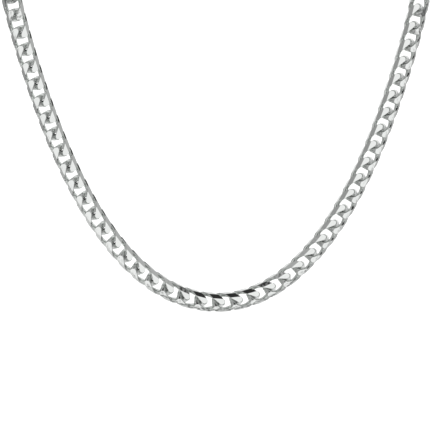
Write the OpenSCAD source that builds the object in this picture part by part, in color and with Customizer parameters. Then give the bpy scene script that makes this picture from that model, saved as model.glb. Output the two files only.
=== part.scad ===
// Curb chain necklace in its worn form: two runs of twisted, diamond-cut links and a box clasp.
// Millimetres, +Z up, the front drop faces -Y. The origin is the point at the nape where the
// inner face of the clasp bears on the neck.

/* [Front drop] */
// Half the width of the drop where it leaves the collarbones
drop_half_width = 58.5; // [57:0.5:60]
// Sag radius of the hanging drop: the smaller it is, the narrower the bottom of the curve
sag_radius = 29.6; // [29:0.1:31]
// Angle that the drop leans forward at its foot, in degrees
drop_lean = 6; // [0:1:12]
// Turn of the faces away from straight ahead by the top of the drop, in degrees
collarbone_turn = 4; // [0:1:8]
// Angle that the faces of the links look downward along the drop, in degrees
front_dip = 10; // [0:1:12]
// Angle that the faces of the links turn toward +X along the drop, in degrees
front_roll = 6; // [0:1:8]

/* [Neck] */
// Distance from the nape forward to the top of the drop
neck_depth = 71; // [68:1:74]
// Height of the nape above the top of the drop
nape_rise = 74; // [71:1:77]
// How far the chain keeps rising at the collarbone before it turns back round the neck
collarbone_pull = 64; // [60:1:68]
// How far the chain runs sideways from the nape before it turns forward
nape_pull = 64; // [60:1:68]

/* [Links] */
// Number of links in each run
links_per_run = 44; // [43:1:45]
// Wire width in the plane of the link
wire_width = 2.05; // [1.9:0.05:2.1]
// Wire thickness across the plane of the link
wire_depth = 1.75; // [1.6:0.05:1.8]
// Width of the finished chain
chain_width = 6.4; // [6.2:0.1:6.6]
// Thickness of the finished chain, between the front and back cuts
chain_thickness = 3.5; // [3.3:0.1:3.8]
// Half the distance between the centres of a link's two long sides
side_offset = 2.75; // [2.65:0.05:2.85]
// Turn of each end of a link about the chain's own line, in degrees
end_twist = 50; // [48:1:54]
// Width of the bevel cut along each edge of the chain
edge_bevel = 0.8; // [0.6:0.05:0.95]
// Play between one link and the next
link_play = 0.22; // [0.2:0.02:0.26]

/* [Clasp] */
// Length of the clasp body, without its two end loops
clasp_length = 18.5; // [18:0.1:19]
// Width of the clasp body
clasp_width = 6.6; // [6.4:0.1:7.4]
// Thickness of the clasp body
clasp_thickness = 4.4; // [4.2:0.1:5]
// Radius of the body's long edges
clasp_edge_radius = 1.4; // [0.8:0.1:1.8]
// Radius of the body's corners
clasp_corner_radius = 2; // [1:0.1:2.6]

/* [Hidden] */

silver = [0.9, 0.9, 0.91];
corner_power = 3.2;    // squareness of the link's oval, 2 being an ellipse
ring_stations = 14;    // stations round each link
wire_sides = 6;        // sides of the wire
neck_steps = 90;       // steps for measuring the neck stretch
end_loop_reach = 110;  // half the arc of an end loop that the clasp carries, in degrees
end_loop_steps = 10;   // stretches along that arc
corner_sides = 32;     // sides of a circle that rounds the clasp body
probe = 0.05;          // small angle for taking a direction, in degrees

// Plain vector helpers
function unit(v) = v / norm(v);
function across(v, t) = unit(v - (v * t) * t);
function signed_power(v, e) = sign(v) * pow(abs(v), e);
function mirrored(v, side) = [side * v[0], v[1], v[2]];

// Line of the chain, from the foot of the drop (run = 0) up to the nape.
// The drop is a catenary: a chain hanging freely between the collarbones.
drop_run = sag_radius * (exp(drop_half_width / sag_radius) - exp(-drop_half_width / sag_radius)) / 2;
drop_up = [0, sin(drop_lean), cos(drop_lean)];
drop_height = sqrt(pow(sag_radius, 2) + pow(drop_run, 2)) - sag_radius;
nape = [0, clasp_thickness / 2, 0];
drop_top = [drop_half_width, nape[1] - neck_depth, -nape_rise];
drop_foot = [0, drop_top[1], drop_top[2]] - drop_height * drop_up;

function drop_point(run) =
    let (hang = sqrt(pow(sag_radius, 2) + pow(run, 2)))
    [sag_radius * ln((run + hang) / sag_radius), 0, 0] + drop_foot + (hang - sag_radius) * drop_up;
function drop_direction(run) = unit([sag_radius, 0, 0] + run * drop_up);

// From the collarbone to the nape the chain follows one smooth cubic round the side of the neck
neck_poles = [
    drop_top,
    drop_top + collarbone_pull * drop_direction(drop_run),
    nape + [nape_pull, 0, 0],
    nape
];
function neck_point(u) =
    pow(1 - u, 3) * neck_poles[0] + 3 * u * pow(1 - u, 2) * neck_poles[1]
    + 3 * pow(u, 2) * (1 - u) * neck_poles[2] + pow(u, 3) * neck_poles[3];
function neck_direction(u) = unit(
    pow(1 - u, 2) * (neck_poles[1] - neck_poles[0]) + 2 * u * (1 - u) * (neck_poles[2] - neck_poles[1])
    + pow(u, 2) * (neck_poles[3] - neck_poles[2]));
neck_runs = [
    for (i = 0, run = 0; i <= neck_steps;
         i = i + 1, run = run + norm(neck_point(i / neck_steps) - neck_point((i - 1) / neck_steps)))
    [run, i / neck_steps]
];
neck_run = neck_runs[neck_steps][0];
half_loop = drop_run + neck_run;
function neck_share(run) = lookup(run - drop_run, neck_runs);

function line_point(run) = run < drop_run ? drop_point(run) : neck_point(neck_share(run));
function line_direction(run) = run < drop_run ? drop_direction(run) : neck_direction(neck_share(run));

// The faces of the links turn a little outward by the top of the drop and turn on round the neck
// until those at the nape look backward. The dip and the roll of the front fade out round the neck.
function eased(share) = pow(share, 2) * (3 - 2 * share);
function face_turn(run) =
    collarbone_turn * eased(min(1, run / drop_run))
    + (180 - collarbone_turn) * eased(max(0, run - drop_run) / neck_run);
function front_share(run) = 1 - eased(max(0, run - drop_run) / neck_run);
function face_direction(run, side) =
    let (outward = sin(face_turn(run)) + side * sin(front_roll) * front_share(run),
         downward = sin(front_dip) * front_share(run))
    across([outward, -cos(face_turn(run)), -downward], line_direction(run));

// Links
// Each run ends in an end loop of the clasp, which is centred on the end of the clasp body
link_pitch = (half_loop - clasp_length / 2) / (links_per_run + 0.5);
end_reach = pow(cos(180 / ring_stations), 2 / corner_power);
half_length = (link_pitch + wire_width + link_play) / 2 / end_reach;

// A point of the link's centre line: an oval whose two ends are turned opposite ways
function ring_point(angle) =
    let (x = half_length * signed_power(cos(angle), 2 / corner_power),
         y = side_offset * signed_power(sin(angle), 2 / corner_power),
         turn = end_twist * x / half_length)
    [x, y * cos(turn), y * sin(turn)];
function ring_plane(angle) =
    let (turn = end_twist * ring_point(angle)[0] / half_length)
    [0, -sin(turn), cos(turn)];

// The finishing cuts: flat front and back, flat sides and a bevel along each edge
function trimmed(p) =
    let (y = min(abs(p[1]), chain_width / 2),
         z = min(abs(p[2]), chain_thickness / 2),
         over = max(0, y + z - (chain_width + chain_thickness) / 2 + edge_bevel) / 2)
    [p[0], sign(p[1]) * (y - over), sign(p[2]) * (z - over)];

// One section of the wire, as a six-sided ring of trimmed points
function wire_section(angle) =
    let (centre = ring_point(angle),
         along = unit(ring_point(angle + probe) - ring_point(angle - probe)),
         rise = across(ring_plane(angle), along),
         out = cross(along, rise))
    [for (k = [0:wire_sides - 1])
        let (a = (k + 0.5) * 360 / wire_sides)
        trimmed(centre + out * wire_width / 2 * cos(a) / cos(180 / wire_sides)
                + rise * wire_depth / 2 * sin(a))];

// Sections in the frame of the link that sits at a run along the line, on side +1 or -1
function placed(sections, run, side) =
    let (origin = mirrored(line_point(run), side),
         along = mirrored(line_direction(run), side),
         face = mirrored(face_direction(run, side), side),
         width = cross(face, along))
    [for (section = sections) [for (p = section) origin + p[0] * along + p[1] * width + p[2] * face]];

function flat(lists) = [for (list = lists) each list];

// Triangles between neighbouring sections; a closed ring joins its last section to its first
function skin(count, closed, start) = [
    for (i = [0:count - (closed ? 1 : 2)], k = [0:wire_sides - 1])
        let (i2 = (i + 1) % count, k2 = (k + 1) % wire_sides,
             a = start + i * wire_sides + k, b = start + i * wire_sides + k2,
             c = start + i2 * wire_sides + k2, d = start + i2 * wire_sides + k)
        each [[a, b, c], [a, c, d]]
];
function cap(first) = [for (k = [0:wire_sides - 1]) first + k];
function reversed(list) = [for (k = [len(list) - 1:-1:0]) list[k]];

// A whole run is one polyhedron that holds each link as a closed ring of its own
module chain_run(side) {
    ring = [for (i = [0:ring_stations - 1]) wire_section((i + 0.5) * 360 / ring_stations)];
    ring_points = ring_stations * wire_sides;
    links = [for (n = [0:links_per_run - 1]) flat(placed(ring, (n + 0.5) * link_pitch, side))];
    faces = [for (n = [0:links_per_run - 1]) skin(ring_stations, true, n * ring_points)];
    polyhedron(points = flat(links), faces = flat(faces));
}

// An end loop of the clasp: the outer part of one more link, rooted in the clasp body
module end_loop(side) {
    arc = [
        for (i = [0:end_loop_steps])
            wire_section(180 + end_loop_reach * (2 * i / end_loop_steps - 1))
    ];
    run = (links_per_run + 0.5) * link_pitch;
    polyhedron(
        points = flat(placed(arc, run, side)),
        faces = concat(
            skin(end_loop_steps + 1, false, 0),
            [reversed(cap(0))],
            [cap(end_loop_steps * wire_sides)]));
}

module rounded_slab(length, width, height, radius) {
    linear_extrude(height, center = true)
        hull()
            for (x = [-1, 1], y = [-1, 1])
                translate([x * (length / 2 - radius), y * (width / 2 - radius)])
                    circle(radius, $fn = corner_sides);
}

module clasp_body() {
    translate(nape)
        intersection() {
            rotate([90, 0, 0])
                rounded_slab(clasp_length, clasp_width, clasp_thickness, clasp_corner_radius);
            rotate([90, 0, 90])
                rounded_slab(clasp_thickness, clasp_width, clasp_length, clasp_edge_radius);
        }
}

module chain_right() {
    color(silver) chain_run(1);
}

module chain_left() {
    color(silver) chain_run(-1);
}

module clasp() {
    color(silver)
        union() {
            clasp_body();
            end_loop(1);
            end_loop(-1);
        }
}

chain_right();
chain_left();
clasp();
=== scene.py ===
import math

import bmesh
import bpy
from mathutils import Matrix, Vector


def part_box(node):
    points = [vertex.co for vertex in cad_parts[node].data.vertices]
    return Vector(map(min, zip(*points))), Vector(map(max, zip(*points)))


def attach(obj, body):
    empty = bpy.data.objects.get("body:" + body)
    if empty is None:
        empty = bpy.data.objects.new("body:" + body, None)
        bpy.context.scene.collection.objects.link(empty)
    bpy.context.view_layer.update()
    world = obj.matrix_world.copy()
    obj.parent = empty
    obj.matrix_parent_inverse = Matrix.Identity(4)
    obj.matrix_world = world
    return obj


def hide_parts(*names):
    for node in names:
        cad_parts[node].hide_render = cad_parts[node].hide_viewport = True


# Curb chain necklace in its worn form: two runs of cut links, closed at the nape by a box clasp
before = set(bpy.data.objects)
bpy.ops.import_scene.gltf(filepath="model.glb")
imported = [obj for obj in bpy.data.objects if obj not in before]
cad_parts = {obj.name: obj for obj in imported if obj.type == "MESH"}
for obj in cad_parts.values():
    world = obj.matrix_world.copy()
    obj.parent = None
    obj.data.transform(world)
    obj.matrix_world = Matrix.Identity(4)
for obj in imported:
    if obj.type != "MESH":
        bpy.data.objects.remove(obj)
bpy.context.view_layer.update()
mm = 0.001


# The line that the chain follows
# The front drop hangs freely between the collarbones as a catenary that leans forward at its foot.
# From each collarbone one smooth cubic runs back and up round the side of the neck to the nape.
drop_half_width = 58.5 * mm
sag_radius = 29.6 * mm
drop_lean = math.radians(6)
neck_depth = 71 * mm
nape_rise = 74 * mm
collarbone_pull = 64 * mm
nape_pull = 64 * mm
clasp_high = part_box("clasp")[1]
nape = Vector((0, clasp_high.y / 2, 0))

drop_run = sag_radius * math.sinh(drop_half_width / sag_radius)
drop_up = Vector((0, math.sin(drop_lean), math.cos(drop_lean)))
drop_height = math.hypot(sag_radius, drop_run) - sag_radius
drop_top = Vector((drop_half_width, nape.y - neck_depth, -nape_rise))
drop_foot = Vector((0, drop_top.y, drop_top.z)) - drop_height * drop_up
rising = (Vector((sag_radius, 0, 0)) + drop_run * drop_up).normalized()


def drop_point(run):
    hang = math.hypot(sag_radius, run)
    across = sag_radius * math.log((run + hang) / sag_radius)
    return drop_foot + Vector((across, 0, 0)) + (hang - sag_radius) * drop_up


def neck_point(share):
    rest = 1 - share
    poles = (drop_top, drop_top + collarbone_pull * rising, nape + Vector((nape_pull, 0, 0)), nape)
    weights = (rest**3, 3 * share * rest**2, 3 * share**2 * rest, share**3)
    return sum((weight * pole for weight, pole in zip(weights, poles)), Vector())


line_steps = 240  # steps along the drop, and as many along the neck
line = [drop_point(drop_run * i / line_steps) for i in range(line_steps)]
line += [neck_point(i / line_steps) for i in range(line_steps + 1)]
half_loop = sum((end - start).length for start, end in zip(line, line[1:]))


# One link
# A ring of drawn silver wire, pressed to an oval and twisted, so that the links of a run lie flat. A
# cutter then leaves bright crowned faces front and back, flat sides, and a bevel along each edge.
links_per_run = 44
clasp_length = 18.5 * mm
link_pitch = (half_loop - clasp_length / 2) / (links_per_run + 0.5)
wire_width = 2.1 * mm
wire_depth = 1.8 * mm
link_play = 0.04 * mm
half_length = (link_pitch + wire_width + link_play) / 2
side_offset = 2.65 * mm
end_twist = math.radians(52)
oval_power = 3.5
ring_stations = 56
wire_sides = 20
chain_width = 6.1 * mm
chain_thickness = 3.5 * mm
cut_face_width = 4.2 * mm
crown_radius = 16 * mm
crown_steps = 10
cutter_half_length = 2 * half_length  # past the link at both ends
crease_angle = math.radians(30)
nook_reach = 0.9 * mm  # how far from its neighbours the wire still gets painted shade


def node(tree, kind, inputs=None, **settings):
    """Adds one node; an input is a plain value or another node's output socket."""
    made = tree.nodes.new(kind)
    for name, value in settings.items():
        setattr(made, name, value)
    for name, value in (inputs or {}).items():
        if isinstance(value, bpy.types.NodeSocket):
            tree.links.new(value, made.inputs[name])
        else:
            made.inputs[name].default_value = value
    return made


def calculate(tree, operation, *values):
    """Adds one Math node and returns its result."""
    return node(tree, "ShaderNodeMath", dict(enumerate(values)), operation=operation).outputs[0]


def vector(tree, **parts):
    """Adds a node that makes a vector of its X, Y and Z, each 0 where it isn't given."""
    return node(tree, "ShaderNodeCombineXYZ", parts).outputs[0]


def dot_product(tree, first, second):
    made = node(tree, "ShaderNodeVectorMath", {0: first, 1: second}, operation="DOT_PRODUCT")
    return made.outputs["Value"]


def scaled(tree, first, factor):
    made = node(tree, "ShaderNodeVectorMath", {0: first, "Scale": factor}, operation="SCALE")
    return made.outputs["Vector"]


def blended(tree, low, high, share, low_value=0.0, high_value=1.0):
    """A value that passes smoothly from one to another while the share goes from low to high."""
    return node(tree, "ShaderNodeMapRange", {
        "Value": share, "From Min": low, "From Max": high, "To Min": low_value, "To Max": high_value},
        interpolation_type="SMOOTHSTEP").outputs["Result"]


def geometry_tree(name, sockets):
    """A new Geometry Nodes tree with named inputs, and the node that gives those inputs."""
    tree = bpy.data.node_groups.new(name, "GeometryNodeTree")
    tree.interface.new_socket("Geometry", in_out="INPUT", socket_type="NodeSocketGeometry")
    for socket, kind in sockets.items():
        tree.interface.new_socket(socket, in_out="INPUT", socket_type="NodeSocket" + kind)
    tree.interface.new_socket("Geometry", in_out="OUTPUT", socket_type="NodeSocketGeometry")
    return tree, tree.nodes.new("NodeGroupInput").outputs


def finished(tree, piece, values):
    """Runs a tree on a piece with these input values, and leaves the piece as a plain mesh."""
    modifier = piece.modifiers.new(tree.name, "NODES")
    modifier.node_group = tree
    for name, value in values.items():
        modifier[tree.interface.items_tree[name].identifier] = value
    evaluated = piece.evaluated_get(bpy.context.evaluated_depsgraph_get())
    mesh = bpy.data.meshes.new_from_object(evaluated)
    piece.modifiers.clear()
    piece.data = mesh
    return piece


def new_piece(name, mesh):
    piece = bpy.data.objects.new(name, mesh)
    bpy.context.scene.collection.objects.link(piece)
    return piece


def cutter_section():
    """Corners of the space that the cutter leaves, once round: crowned faces, bevels, flat sides."""
    half_face = cut_face_width / 2
    face = []
    for i in range(crown_steps + 1):
        out = half_face * (2 * i / crown_steps - 1)
        face.append((out, chain_thickness / 2 - out**2 / (2 * crown_radius)))
    bevel = chain_width / 2 - half_face
    corner = (chain_width / 2, face[-1][1] - bevel)
    front = [(-corner[0], corner[1])] + face + [corner]
    return front + [(-y, -z) for y, z in front]


def cutter_mesh():
    """The space that the cutter leaves, as a bar; its faces are marked as cut."""
    mesh = bpy.data.meshes.new("cutter")
    build = bmesh.new()
    near, far = (
        [build.verts.new((end, y, z)) for y, z in cutter_section()]
        for end in (-cutter_half_length, cutter_half_length))
    for i in range(len(near)):
        after = (i + 1) % len(near)
        build.faces.new((near[i], near[after], far[after], far[i]))
    build.faces.new(near[::-1])
    build.faces.new(far)
    bmesh.ops.recalc_face_normals(build, faces=build.faces)
    cut = build.faces.layers.float.new("cut")
    for face in build.faces:
        face[cut] = 1
    build.to_mesh(mesh)
    build.free()
    return mesh


def signed_power(tree, value, power):
    size = calculate(tree, "POWER", calculate(tree, "ABSOLUTE", value), power)
    return calculate(tree, "MULTIPLY", calculate(tree, "SIGN", value), size)


link_tree, given = geometry_tree("curb_link", {
    "Cutter": "Object", "Half Length": "Float", "Side Offset": "Float", "End Twist": "Float",
    "Oval Power": "Float", "Wire Width": "Float", "Wire Depth": "Float", "Stations": "Int",
    "Wire Sides": "Int", "Crease": "Float", "Pitch": "Float", "Nook Reach": "Float"})
tree = link_tree

# The centre line of the wire: an oval whose two ends are turned opposite ways
station = node(tree, "GeometryNodeInputIndex").outputs[0]
angle = calculate(tree, "DIVIDE", calculate(tree, "MULTIPLY", station, math.tau), given["Stations"])
flatness = calculate(tree, "DIVIDE", 2, given["Oval Power"])
along = signed_power(tree, calculate(tree, "COSINE", angle), flatness)
aside = signed_power(tree, calculate(tree, "SINE", angle), flatness)
turn = calculate(tree, "MULTIPLY", along, given["End Twist"])
out = calculate(tree, "MULTIPLY", aside, given["Side Offset"])
place = vector(
    tree, X=calculate(tree, "MULTIPLY", along, given["Half Length"]),
    Y=calculate(tree, "MULTIPLY", out, calculate(tree, "COSINE", turn)),
    Z=calculate(tree, "MULTIPLY", out, calculate(tree, "SINE", turn)))
circle = node(tree, "GeometryNodeCurvePrimitiveCircle", {"Resolution": given["Stations"]})
ring = node(tree, "GeometryNodeSetPosition", {
    "Geometry": circle.outputs["Curve"], "Position": place}).outputs[0]

# The wire lies flat in the turned plane of the link
plane = vector(
    tree, Y=calculate(tree, "MULTIPLY", calculate(tree, "SINE", turn), -1),
    Z=calculate(tree, "COSINE", turn))
tangent = node(tree, "GeometryNodeInputTangent").outputs[0]
lean = scaled(tree, tangent, dot_product(tree, plane, tangent))
upright = node(tree, "ShaderNodeVectorMath", {0: plane, 1: lean}, operation="SUBTRACT").outputs[0]
rise = node(tree, "ShaderNodeVectorMath", {0: upright}, operation="NORMALIZE").outputs[0]
ring = node(tree, "GeometryNodeSetCurveNormal", {"Curve": ring, "Normal": rise}, mode="FREE").outputs[0]
circle = node(tree, "GeometryNodeCurvePrimitiveCircle", {"Resolution": given["Wire Sides"]})
wire_shape = vector(
    tree, X=calculate(tree, "DIVIDE", given["Wire Depth"], 2),
    Y=calculate(tree, "DIVIDE", given["Wire Width"], 2), Z=1)
profile = node(tree, "GeometryNodeTransform", {
    "Geometry": circle.outputs["Curve"], "Scale": wire_shape}).outputs[0]
wire = node(tree, "GeometryNodeCurveToMesh", {"Curve": ring, "Profile Curve": profile}).outputs[0]

# The cuts leave sharp edges, and the wire between them stays round
cutter = node(tree, "GeometryNodeObjectInfo", {"Object": given["Cutter"]}).outputs["Geometry"]
cut = node(tree, "GeometryNodeMeshBoolean", operation="INTERSECT", solver="EXACT")
tree.links.new(cutter, cut.inputs["Mesh 2"])
tree.links.new(wire, cut.inputs["Mesh 2"])
smooth = node(tree, "GeometryNodeSetShadeSmooth", {
    "Geometry": cut.outputs["Mesh"]}, domain="FACE").outputs[0]
bend = node(tree, "GeometryNodeInputMeshEdgeAngle").outputs[0]
sharp = node(tree, "FunctionNodeCompare", {
    "A": bend, "B": given["Crease"]}, operation="GREATER_THAN").outputs[0]
edges = node(tree, "FunctionNodeBooleanMath", {
    0: sharp, 1: cut.outputs["Intersecting Edges"]}, operation="OR").outputs[0]
creased = node(tree, "GeometryNodeSetShadeSmooth", {
    "Geometry": smooth, "Selection": edges, "Shade Smooth": False}, domain="EDGE").outputs[0]

# A mask that is 1 where the two neighbouring links touch and 0 away from them; it paints shade into the
# silver's colour there
neighbours = node(tree, "GeometryNodeJoinGeometry")
for way in (-1, 1):
    beside = vector(tree, X=calculate(tree, "MULTIPLY", given["Pitch"], way))
    neighbour = node(tree, "GeometryNodeTransform", {"Geometry": creased, "Translation": beside})
    tree.links.new(neighbour.outputs[0], neighbours.inputs[0])
clearance = node(tree, "GeometryNodeProximity", {0: neighbours.outputs[0]}, target_element="FACES")
nook = blended(tree, 0.0, given["Nook Reach"], clearance.outputs["Distance"], 1.0, 0.0)
marked = node(tree, "GeometryNodeStoreNamedAttribute", {
    "Geometry": creased, "Name": "nook", "Value": nook}, data_type="FLOAT", domain="POINT").outputs[0]
node(tree, "NodeGroupOutput", {"Geometry": marked})

cutter_piece = new_piece("cutter", cutter_mesh())
link = finished(link_tree, new_piece("link", bpy.data.meshes.new("link")), {
    "Cutter": cutter_piece, "Half Length": half_length, "Side Offset": side_offset,
    "End Twist": end_twist, "Oval Power": oval_power, "Wire Width": wire_width,
    "Wire Depth": wire_depth, "Stations": ring_stations, "Wire Sides": wire_sides,
    "Crease": crease_angle, "Pitch": link_pitch, "Nook Reach": nook_reach})
bpy.data.objects.remove(cutter_piece)


# The two runs
# Forty-four silver links a side hang in one another, each settled at a slightly different turn. They
# follow the line of the chain, and their faces turn with it round the neck.
collarbone_turn = math.radians(4)
front_dip = math.radians(10)
front_roll = math.radians(6)
link_sway = math.radians(0.4)
sway_seed = 11
silver_tone = (0.92, 0.938, 0.924)
nook_shade = 0.55  # how much painted shade darkens the silver in a nook
nook_haze = 0.25  # how much rougher it is there
cut_gain = 0.04  # how much smoother a cut face is than drawn wire
hairline_stretch = 0.12  # a hairline changes this much along its length for 1 across it
ripple_detail = 0.0
hairline_detail = 4.0
fingermark_detail = 3.0
fingermark_starts = 0.45
fingermark_whole = 0.75
fingermark_shade = 0.04


def noise(tree, coordinates, scale, detail):
    return node(tree, "ShaderNodeTexNoise", {
        "Vector": coordinates, "Scale": scale, "Detail": detail}).outputs["Fac"]


def handled_silver():
    """Shared wear of polished silver: a faint ripple from the cutter, hairlines and fingermarks."""
    tree = bpy.data.node_groups.new("handled_silver", "ShaderNodeTree")
    for name in ("Ripple Scale", "Ripple Depth", "Hairline Scale", "Hairline Depth", "Fingermark Scale",
                 "Fingermark", "Polish"):
        tree.interface.new_socket(name, in_out="INPUT", socket_type="NodeSocketFloat")
    for name in ("Roughness", "Height", "Tone"):
        tree.interface.new_socket(name, in_out="OUTPUT", socket_type="NodeSocketFloat")
    given = tree.nodes.new("NodeGroupInput").outputs
    place = node(tree, "ShaderNodeTexCoord").outputs["Object"]
    drawn = node(tree, "ShaderNodeMapping", {
        "Vector": place, "Scale": (1, 1, hairline_stretch)}).outputs[0]
    hairline = noise(tree, drawn, given["Hairline Scale"], hairline_detail)
    ripple = noise(tree, place, given["Ripple Scale"], ripple_detail)
    height = calculate(tree, "MULTIPLY", ripple, given["Ripple Depth"])
    height = calculate(tree, "MULTIPLY_ADD", hairline, given["Hairline Depth"], height)
    smudge = noise(tree, place, given["Fingermark Scale"], fingermark_detail)
    marks = blended(tree, fingermark_starts, fingermark_whole, smudge)
    roughness = calculate(tree, "MULTIPLY_ADD", marks, given["Fingermark"], given["Polish"])
    node(tree, "NodeGroupOutput", {
        "Roughness": roughness,
        "Height": height,
        "Tone": calculate(tree, "MULTIPLY_ADD", marks, -fingermark_shade, 1.0)})
    return tree


def silver(name, wear, worn):
    """Polished silver: brightest on the cut faces, softer on drawn wire, and darkened by painted shade
    in its nooks.
    """
    material = bpy.data.materials.new(name)
    material.use_nodes = True
    tree = material.node_tree
    shader = tree.nodes["Principled BSDF"]
    shader.inputs["Metallic"].default_value = 1
    finish = node(tree, "ShaderNodeGroup", node_tree=wear)
    for socket, value in worn.items():
        finish.inputs[socket].default_value = value
    cut = node(tree, "ShaderNodeAttribute", attribute_name="cut").outputs["Fac"]
    nook = node(tree, "ShaderNodeAttribute", attribute_name="nook").outputs["Fac"]
    # Painted shade: the base colour darkens where links touch, except on cut faces
    painted_nook_shade = calculate(tree, "MULTIPLY", nook, calculate(tree, "SUBTRACT", 1, cut))
    polish = calculate(tree, "MULTIPLY_ADD", cut, -cut_gain, finish.outputs["Roughness"])
    polish = calculate(tree, "MULTIPLY_ADD", painted_nook_shade, nook_haze, polish)
    shade = calculate(tree, "MULTIPLY_ADD", painted_nook_shade, -nook_shade, finish.outputs["Tone"])
    bump = node(tree, "ShaderNodeBump", {"Height": finish.outputs["Height"], "Distance": mm})
    tree.links.new(scaled(tree, silver_tone, shade), shader.inputs["Base Color"])
    tree.links.new(polish, shader.inputs["Roughness"])
    tree.links.new(bump.outputs[0], shader.inputs["Normal"])
    return material


silver_wear = handled_silver()
chain_silver = silver("chain_silver", silver_wear, {
    "Ripple Scale": 1300, "Ripple Depth": 0.05, "Hairline Scale": 2500, "Hairline Depth": 0.004,
    "Fingermark Scale": 160, "Fingermark": 0.06, "Polish": 0.08})

run_tree, given = geometry_tree("curb_run", {
    "Link": "Object", "Link Count": "Int", "First Link": "Int", "Pitch": "Float", "Drop Run": "Float",
    "Half Loop": "Float", "Collarbone Turn": "Float", "Front Dip": "Float", "Front Roll": "Float",
    "Side": "Float", "Sway": "Float", "Seed": "Int", "Material": "Material"})
tree = run_tree

# Each link's place on the line
path = node(tree, "GeometryNodeMeshToCurve", {"Mesh": given["Geometry"]}).outputs[0]
number = node(tree, "GeometryNodeInputIndex").outputs[0]
place_in_run = calculate(tree, "ADD", calculate(tree, "ADD", number, given["First Link"]), 0.5)
run = calculate(tree, "MULTIPLY", place_in_run, given["Pitch"])
on_line = node(tree, "GeometryNodeSampleCurve", {"Curves": path, "Length": run}, mode="LENGTH")

# The way that its face looks: forward along the drop, and round to the back at the nape
front_turn = blended(tree, 0.0, given["Drop Run"], run, 0.0, given["Collarbone Turn"])
neck_turn = blended(
    tree, given["Drop Run"], given["Half Loop"], run, 0.0,
    calculate(tree, "SUBTRACT", math.pi, given["Collarbone Turn"]))
face_turn = calculate(tree, "ADD", front_turn, neck_turn)
front_share = blended(tree, given["Drop Run"], given["Half Loop"], run, 1.0, 0.0)
outward = calculate(tree, "MULTIPLY", calculate(tree, "SINE", face_turn), given["Side"])
rolled = calculate(tree, "MULTIPLY", calculate(tree, "SINE", given["Front Roll"]), front_share)
dipped = calculate(tree, "MULTIPLY", calculate(tree, "SINE", given["Front Dip"]), front_share)
facing = vector(
    tree, X=calculate(tree, "ADD", outward, rolled),
    Y=calculate(tree, "MULTIPLY", calculate(tree, "COSINE", face_turn), -1),
    Z=calculate(tree, "MULTIPLY", dipped, -1))
hang = node(tree, "FunctionNodeAxesToRotation", {
    "Primary Axis": on_line.outputs["Tangent"], "Secondary Axis": facing},
    primary_axis="X", secondary_axis="Z").outputs[0]

# A small turn of its own
most = given["Sway"]
least = calculate(tree, "MULTIPLY", most, -1)
swing = node(tree, "FunctionNodeRandomValue", {
    0: vector(tree, X=least, Y=least, Z=least), 1: vector(tree, X=most, Y=most, Z=most),
    "Seed": given["Seed"]}, data_type="FLOAT_VECTOR").outputs[0]
swing = node(tree, "FunctionNodeEulerToRotation", {0: swing}).outputs[0]
hang = node(tree, "FunctionNodeRotateRotation", {
    "Rotation": hang, "Rotate By": swing}, rotation_space="LOCAL").outputs[0]

points = node(tree, "GeometryNodePoints", {
    "Count": given["Link Count"], "Position": on_line.outputs["Position"]}).outputs[0]
one_link = node(tree, "GeometryNodeObjectInfo", {
    "Object": given["Link"], "As Instance": True}).outputs["Geometry"]
links = node(tree, "GeometryNodeInstanceOnPoints", {
    "Points": points, "Instance": one_link, "Rotation": hang}).outputs[0]
links = node(tree, "GeometryNodeRealizeInstances", {"Geometry": links}).outputs[0]
links = node(tree, "GeometryNodeSetMaterial", {
    "Geometry": links, "Material": given["Material"]}).outputs[0]
node(tree, "NodeGroupOutput", {"Geometry": links})


def line_mesh(side):
    mesh = bpy.data.meshes.new("line")
    places = [(side * place.x, place.y, place.z) for place in line]
    mesh.from_pydata(places, [(i, i + 1) for i in range(len(line) - 1)], [])
    return mesh


def link_run(name, side, count, first):
    return finished(run_tree, new_piece(name, line_mesh(side)), {
        "Link": link, "Link Count": count, "First Link": first, "Pitch": link_pitch,
        "Drop Run": drop_run, "Half Loop": half_loop, "Collarbone Turn": collarbone_turn,
        "Front Dip": front_dip, "Front Roll": front_roll, "Side": side, "Sway": link_sway,
        "Seed": sway_seed, "Material": chain_silver})


for name, side, cad_node in (("links_right", 1, "chain_right"), ("links_left", -1, "chain_left")):
    run_of_links = link_run(name, side, links_per_run, 0)
    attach(run_of_links, "root")
    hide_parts(cad_node)


# The clasp
# A closed box clasp of the same silver lies at the nape: a rounded box with a fine seam where its two
# halves close. A cut link soldered into each end takes the last link of a run.
clasp_corner_radius = 2 * mm
clasp_edge_radius = 1.4 * mm
corner_steps = 8
seam_place = 5.2 * mm
seam_width = 0.3 * mm
seam_depth = 0.16 * mm
clasp_thickness = clasp_high.y
clasp_width = 2 * clasp_high.z
same_place = 0.01 * mm  # closer than this is the same place
flat_face = 0.9999  # a flat side of the box has one part of its normal at least this large


def depth_of(edge):
    return abs((edge.verts[0].co - edge.verts[1].co).y)


def round_off(build, edges, radius):
    bmesh.ops.bevel(build, geom=edges, offset=radius, offset_type="OFFSET", segments=corner_steps,
                    profile=0.5, affect="EDGES")


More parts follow.
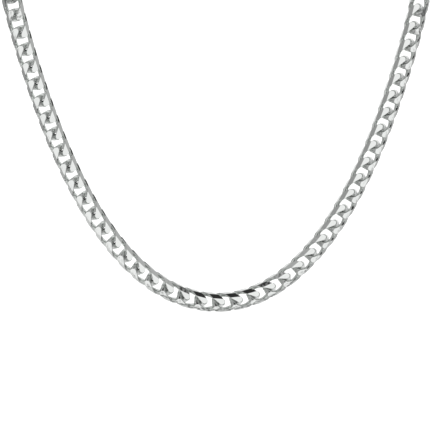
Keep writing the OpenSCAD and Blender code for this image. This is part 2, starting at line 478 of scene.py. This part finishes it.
def clasp_body():
    """The box without its end links; its faces are marked as cut, so that they take no painted shade in
    the nooks.
    """
    mesh = bpy.data.meshes.new("clasp_body")
    build = bmesh.new()
    bmesh.ops.create_cube(build, size=1, matrix=Matrix.Translation(nape) @ Matrix.Diagonal(
        (clasp_length, clasp_thickness, clasp_width, 1)))
    corners = [edge for edge in build.edges if depth_of(edge) > clasp_thickness / 2]
    round_off(build, corners, clasp_corner_radius)
    rims = [edge for edge in build.edges if depth_of(edge) < same_place]
    round_off(build, rims, clasp_edge_radius)
    for offset in (-seam_width / 2, 0, seam_width / 2):
        bmesh.ops.bisect_plane(build, geom=build.verts[:] + build.edges[:] + build.faces[:],
                               plane_co=(seam_place + offset, 0, 0), plane_no=(1, 0, 0))
    build.normal_update()
    for vert in build.verts:
        if abs(vert.co.x - seam_place) < same_place:
            vert.co -= seam_depth * vert.normal
    build.normal_update()
    cut = build.faces.layers.float.new("cut")
    for face in build.faces:
        face.smooth = max(abs(part) for part in face.normal) < flat_face
        face[cut] = 1
    for edge in build.edges:
        start, end = (vert.co.x - seam_place for vert in edge.verts)
        edge.smooth = abs(start - end) > same_place or abs(start) > seam_width
    build.to_mesh(mesh)
    build.free()
    return mesh


clasp_tree, given = geometry_tree("box_clasp", {
    "Right Loop": "Object", "Left Loop": "Object", "Material": "Material"})
tree = clasp_tree
joined = node(tree, "GeometryNodeMeshBoolean", operation="UNION", solver="EXACT")
tree.links.new(given["Geometry"], joined.inputs["Mesh 2"])
for side in ("Right Loop", "Left Loop"):
    loop = node(tree, "GeometryNodeObjectInfo", {"Object": given[side]}).outputs["Geometry"]
    tree.links.new(loop, joined.inputs["Mesh 2"])
clasp_mesh = node(tree, "GeometryNodeSetMaterial", {
    "Geometry": joined.outputs["Mesh"], "Material": given["Material"]}).outputs[0]
node(tree, "NodeGroupOutput", {"Geometry": clasp_mesh})

clasp_silver = silver("clasp_silver", silver_wear, {
    "Ripple Scale": 400, "Ripple Depth": 0.01, "Hairline Scale": 2500, "Hairline Depth": 0.004,
    "Fingermark Scale": 160, "Fingermark": 0.1, "Polish": 0.14})
end_loops = [
    link_run(name, side, 1, links_per_run) for name, side in (("loop_right", 1), ("loop_left", -1))]
clasp = finished(clasp_tree, new_piece("box_clasp", clasp_body()), {
    "Right Loop": end_loops[0], "Left Loop": end_loops[1], "Material": clasp_silver})
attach(clasp, "root")
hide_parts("clasp")
for loop in end_loops + [link]:
    bpy.data.objects.remove(loop)


# The floor and the light
# The necklace is held by its nape above a plain pale floor, in a soft grey studio. In front of it is a
# white sheet in a dark surround, behind it a white board, and over it a dark flag and a lamp.
floor_height = -0.3
floor_reach = 12
floor_colour = (0.9, 0.9, 0.9, 1)
floor_roughness = 0.6
lamp_size = 3
lamp_power = 120
lamp_place = (0, 0.5, 2.5)

# How bright each side of the studio is, and where one passes to the next. The places are parts of a
# direction: 1 is straight up or straight to +X, and -1 the other way.
left_strength = 0.31
right_strength = 0.44
side_edge = 0.9
under_strength = 0.64
under_starts = -0.45
under_whole = -0.75
over_strength = 0.44
over_starts = 0.35
over_whole = 0.7
backdrop_strength = 1.1

# Its round patches, in degrees: where the middle is, and how far from it a patch is whole and gone
dark_flag = {"azimuth": 5, "elevation": 54, "whole": 18, "gone": 34, "strength": 0.03}
back_board = {"azimuth": 180, "elevation": 0, "whole": 38, "gone": 50, "strength": 0.85}
sheet_surround = {"azimuth": 12, "elevation": -12, "whole": 48, "gone": 62, "strength": 0.14}
front_sheet = {"azimuth": 12, "elevation": -12, "whole": 28, "gone": 42, "strength": 0.9}

floor_mesh = bpy.data.meshes.new("floor")
floor_mesh.from_pydata([(x * floor_reach, y * floor_reach, floor_height)
                        for x, y in ((-1, -1), (1, -1), (1, 1), (-1, 1))], [], [(0, 1, 2, 3)])
floor = new_piece("floor", floor_mesh)
floor_paint = bpy.data.materials.new("floor_paint")
floor_paint.use_nodes = True
floor_shader = floor_paint.node_tree.nodes["Principled BSDF"]
floor_shader.inputs["Base Color"].default_value = floor_colour
floor_shader.inputs["Roughness"].default_value = floor_roughness
floor_mesh.materials.append(floor_paint)
floor.visible_glossy = False


def heading(azimuth, elevation):
    """Direction from the necklace: azimuth 0 is straight in front of it, and 90 is +X (degrees)."""
    level = math.cos(math.radians(elevation))
    turn = math.radians(azimuth)
    return (math.sin(turn) * level, -math.cos(turn) * level, math.sin(math.radians(elevation)))


def mixed(tree, share, first, second):
    return node(tree, "ShaderNodeMix", {0: share, 2: first, 3: second}, data_type="FLOAT").outputs[0]


def with_patch(tree, lit, ray, azimuth, elevation, whole, gone, strength):
    """The light of the studio with one more round patch laid over it."""
    facing = dot_product(tree, ray, heading(azimuth, elevation))
    share = blended(tree, math.cos(math.radians(gone)), math.cos(math.radians(whole)), facing)
    return mixed(tree, share, lit, strength)


studio = bpy.data.worlds.new("studio")
bpy.context.scene.world = studio
studio.use_nodes = True
tree = studio.node_tree
ray = node(tree, "ShaderNodeTexCoord").outputs["Generated"]
parts = node(tree, "ShaderNodeSeparateXYZ", {0: ray}).outputs
lit = blended(tree, -side_edge, side_edge, parts["X"], left_strength, right_strength)
lit = mixed(tree, blended(tree, under_starts, under_whole, parts["Z"]), lit, under_strength)
lit = mixed(tree, blended(tree, over_starts, over_whole, parts["Z"]), lit, over_strength)
for light in (dark_flag, back_board, sheet_surround, front_sheet):
    lit = with_patch(tree, lit, ray, **light)
seen = node(tree, "ShaderNodeLightPath").outputs["Is Camera Ray"]
background = tree.nodes["Background"].inputs
background["Color"].default_value = (1, 1, 1, 1)
tree.links.new(mixed(tree, seen, lit, backdrop_strength), background["Strength"])

lamp = bpy.data.lights.new("overhead_lamp", "AREA")
lamp.shape = "DISK"
lamp.size = lamp_size
lamp.energy = lamp_power
overhead_lamp = new_piece("overhead_lamp", lamp)
overhead_lamp.location = lamp_place
overhead_lamp.visible_glossy = False


# The camera
# It stands well back with a long lens, a little to the left of the chain's middle and above it, and it
# takes in the front drop alone.
camera_distance = 2.0
camera_azimuth = -2.9
camera_elevation = 16
camera_target = Vector((0.64, -73, -127.8)) * mm
sensor_width = 36
focal_length = 534.4
nearest_seen = 0.01
furthest_seen = 50

lens = bpy.data.cameras.new("camera")
lens.sensor_width = sensor_width
lens.lens = focal_length
lens.clip_start = nearest_seen
lens.clip_end = furthest_seen
camera = new_piece("camera", lens)
toward_camera = Vector(heading(camera_azimuth, camera_elevation))
camera.location = camera_target + camera_distance * toward_camera
camera.rotation_euler = toward_camera.to_track_quat("Z", "Y").to_euler()
bpy.context.scene.camera = camera
bpy.context.scene.view_settings.view_transform = "Standard"
